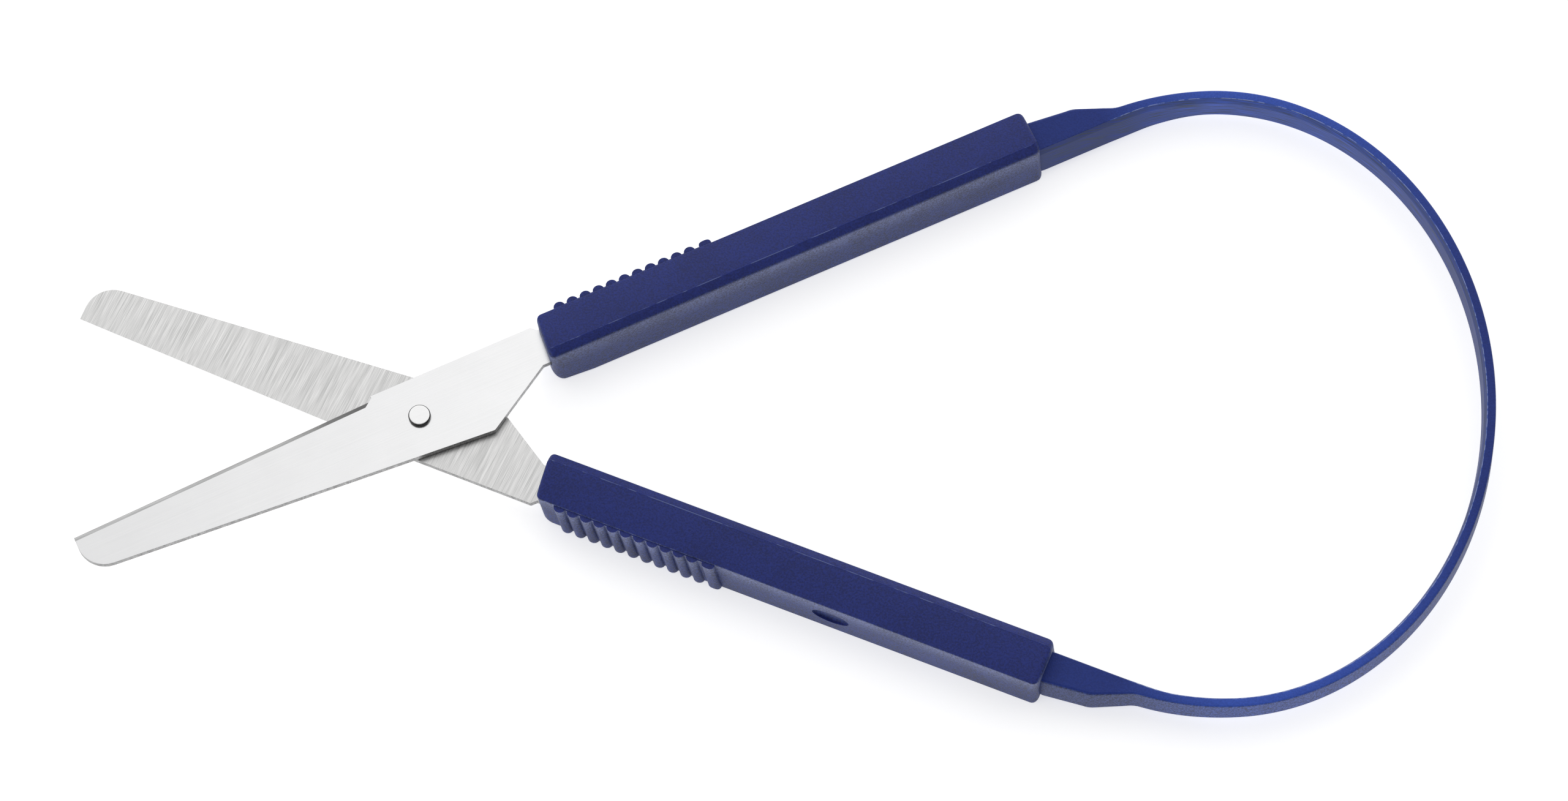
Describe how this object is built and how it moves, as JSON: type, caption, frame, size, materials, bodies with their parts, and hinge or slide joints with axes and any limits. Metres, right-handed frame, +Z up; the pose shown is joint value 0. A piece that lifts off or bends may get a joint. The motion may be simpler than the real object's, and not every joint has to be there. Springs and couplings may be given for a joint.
{
  "type": "loop scissors",
  "caption": "Self-opening loop scissors for weak hands: two rounded-tip steel blades on a rivet, ribbed plastic grips, and a springy strap that joins the grips and opens them.",
  "frame": {"origin": "centre of the footprint on the table, at half the overall length, with the scissors lying flat and open", "axes": "+X from the blades towards the loop, +Z up from the table, +Y towards the upper grip, which holds the upper blade"},
  "size_m": [0.203, 0.0938, 0.0092],
  "materials": {
    "polished_steel": "polished flat faces with a ground bevel along the cutting edge",
    "brushed_steel": "fine lines across the blade",
    "rivet_steel": "bright turned head",
    "grip_plastic": "dark navy with a fine moulded texture",
    "loop_plastic": "blue, slightly glossy, with fine lengthwise streaks"
  },
  "bodies": {
    "front_arm": {"front_blade": "polished_steel", "pivot_rivet": "rivet_steel", "upper_grip": "grip_plastic", "upper_loop_end": "loop_plastic"},
    "back_arm": {"back_blade": "brushed_steel", "lower_grip": "grip_plastic", "lower_loop_end": "loop_plastic"},
    "upper_link_1": {"upper_loop_1": "loop_plastic"},
    "upper_link_2": {"upper_loop_2": "loop_plastic"},
    "upper_link_3": {"upper_loop_3": "loop_plastic"},
    "upper_link_4": {"upper_loop_4": "loop_plastic"},
    "upper_link_5": {"upper_loop_5": "loop_plastic"},
    "upper_link_6": {"upper_loop_6": "loop_plastic"},
    "upper_link_7": {"upper_loop_7": "loop_plastic"},
    "lower_link_1": {"lower_loop_1": "loop_plastic"},
    "lower_link_2": {"lower_loop_2": "loop_plastic"},
    "lower_link_3": {"lower_loop_3": "loop_plastic"},
    "lower_link_4": {"lower_loop_4": "loop_plastic"},
    "lower_link_5": {"lower_loop_5": "loop_plastic"},
    "lower_link_6": {"lower_loop_6": "loop_plastic"},
    "lower_link_7": {"lower_loop_7": "loop_plastic"}
  },
  "joints": [
    {"name": "blade_pivot", "type": "hinge", "parent": "front_arm", "child": "back_arm", "pos_m": [-0.05208, 0, 0.00415], "axis": [0, 0, 1], "range_deg": [0, 37.6], "stiffness_Nm_per_rad": 0.75},
    {"name": "upper_hinge_1", "type": "hinge", "parent": "front_arm", "child": "upper_link_1", "pos_m": [0.04959, 0.04399, 0.00415], "axis": [0, 0, 1], "range_deg": [0, 36.33]},
    {"name": "upper_hinge_2", "type": "hinge", "parent": "upper_link_1", "child": "upper_link_2", "pos_m": [0.06242, 0.0461, 0.00415], "axis": [0, 0, 1], "range_deg": [0, 24.26]},
    {"name": "upper_hinge_3", "type": "hinge", "parent": "upper_link_2", "child": "upper_link_3", "pos_m": [0.07233, 0.04453, 0.00415], "axis": [0, 0, 1], "range_deg": [0, 8.92]},
    {"name": "upper_hinge_4", "type": "hinge", "parent": "upper_link_3", "child": "upper_link_4", "pos_m": [0.08157, 0.03992, 0.00415], "axis": [0, 0, 1], "range_deg": [-2.89, 0]},
    {"name": "upper_hinge_5", "type": "hinge", "parent": "upper_link_4", "child": "upper_link_5", "pos_m": [0.0895, 0.0326, 0.00415], "axis": [0, 0, 1], "range_deg": [-11.89, 0]},
    {"name": "upper_hinge_6", "type": "hinge", "parent": "upper_link_5", "child": "upper_link_6", "pos_m": [0.09559, 0.02305, 0.00415], "axis": [0, 0, 1], "range_deg": [-16.86, 0]},
    {"name": "upper_hinge_7", "type": "hinge", "parent": "upper_link_6", "child": "upper_link_7", "pos_m": [0.09942, 0.01193, 0.00415], "axis": [0, 0, 1], "range_deg": [-19.09, 0]},
    {"name": "lower_hinge_1", "type": "hinge", "parent": "back_arm", "child": "lower_link_1", "pos_m": [0.04959, -0.04399, 0.00415], "axis": [0, 0, 1], "range_deg": [-36.33, 0]},
    {"name": "lower_hinge_2", "type": "hinge", "parent": "lower_link_1", "child": "lower_link_2", "pos_m": [0.06242, -0.0461, 0.00415], "axis": [0, 0, 1], "range_deg": [-24.26, 0]},
    {"name": "lower_hinge_3", "type": "hinge", "parent": "lower_link_2", "child": "lower_link_3", "pos_m": [0.07233, -0.04453, 0.00415], "axis": [0, 0, 1], "range_deg": [-8.92, 0]},
    {"name": "lower_hinge_4", "type": "hinge", "parent": "lower_link_3", "child": "lower_link_4", "pos_m": [0.08157, -0.03992, 0.00415], "axis": [0, 0, 1], "range_deg": [0, 2.89]},
    {"name": "lower_hinge_5", "type": "hinge", "parent": "lower_link_4", "child": "lower_link_5", "pos_m": [0.0895, -0.0326, 0.00415], "axis": [0, 0, 1], "range_deg": [0, 11.89]},
    {"name": "lower_hinge_6", "type": "hinge", "parent": "lower_link_5", "child": "lower_link_6", "pos_m": [0.09559, -0.02305, 0.00415], "axis": [0, 0, 1], "range_deg": [0, 16.86]},
    {"name": "lower_hinge_7", "type": "hinge", "parent": "lower_link_6", "child": "lower_link_7", "pos_m": [0.09942, -0.01193, 0.00415], "axis": [0, 0, 1], "range_deg": [0, 19.09]}
  ],
  "couplings": [
    {"joint": "upper_hinge_1", "follows": "blade_pivot", "ratio": 0.9657},
    {"joint": "upper_hinge_2", "follows": "blade_pivot", "ratio": 0.6447},
    {"joint": "upper_hinge_3", "follows": "blade_pivot", "ratio": 0.2366},
    {"joint": "upper_hinge_4", "follows": "blade_pivot", "ratio": -0.0762},
    {"joint": "upper_hinge_5", "follows": "blade_pivot", "ratio": -0.3156},
    {"joint": "upper_hinge_6", "follows": "blade_pivot", "ratio": -0.4479},
    {"joint": "upper_hinge_7", "follows": "blade_pivot", "ratio": -0.5073},
    {"joint": "lower_hinge_1", "follows": "blade_pivot", "ratio": -0.9657},
    {"joint": "lower_hinge_2", "follows": "blade_pivot", "ratio": -0.6447},
    {"joint": "lower_hinge_3", "follows": "blade_pivot", "ratio": -0.2366},
    {"joint": "lower_hinge_4", "follows": "blade_pivot", "ratio": 0.0762},
    {"joint": "lower_hinge_5", "follows": "blade_pivot", "ratio": 0.3156},
    {"joint": "lower_hinge_6", "follows": "blade_pivot", "ratio": 0.4479},
    {"joint": "lower_hinge_7", "follows": "blade_pivot", "ratio": 0.5073}
  ]
}
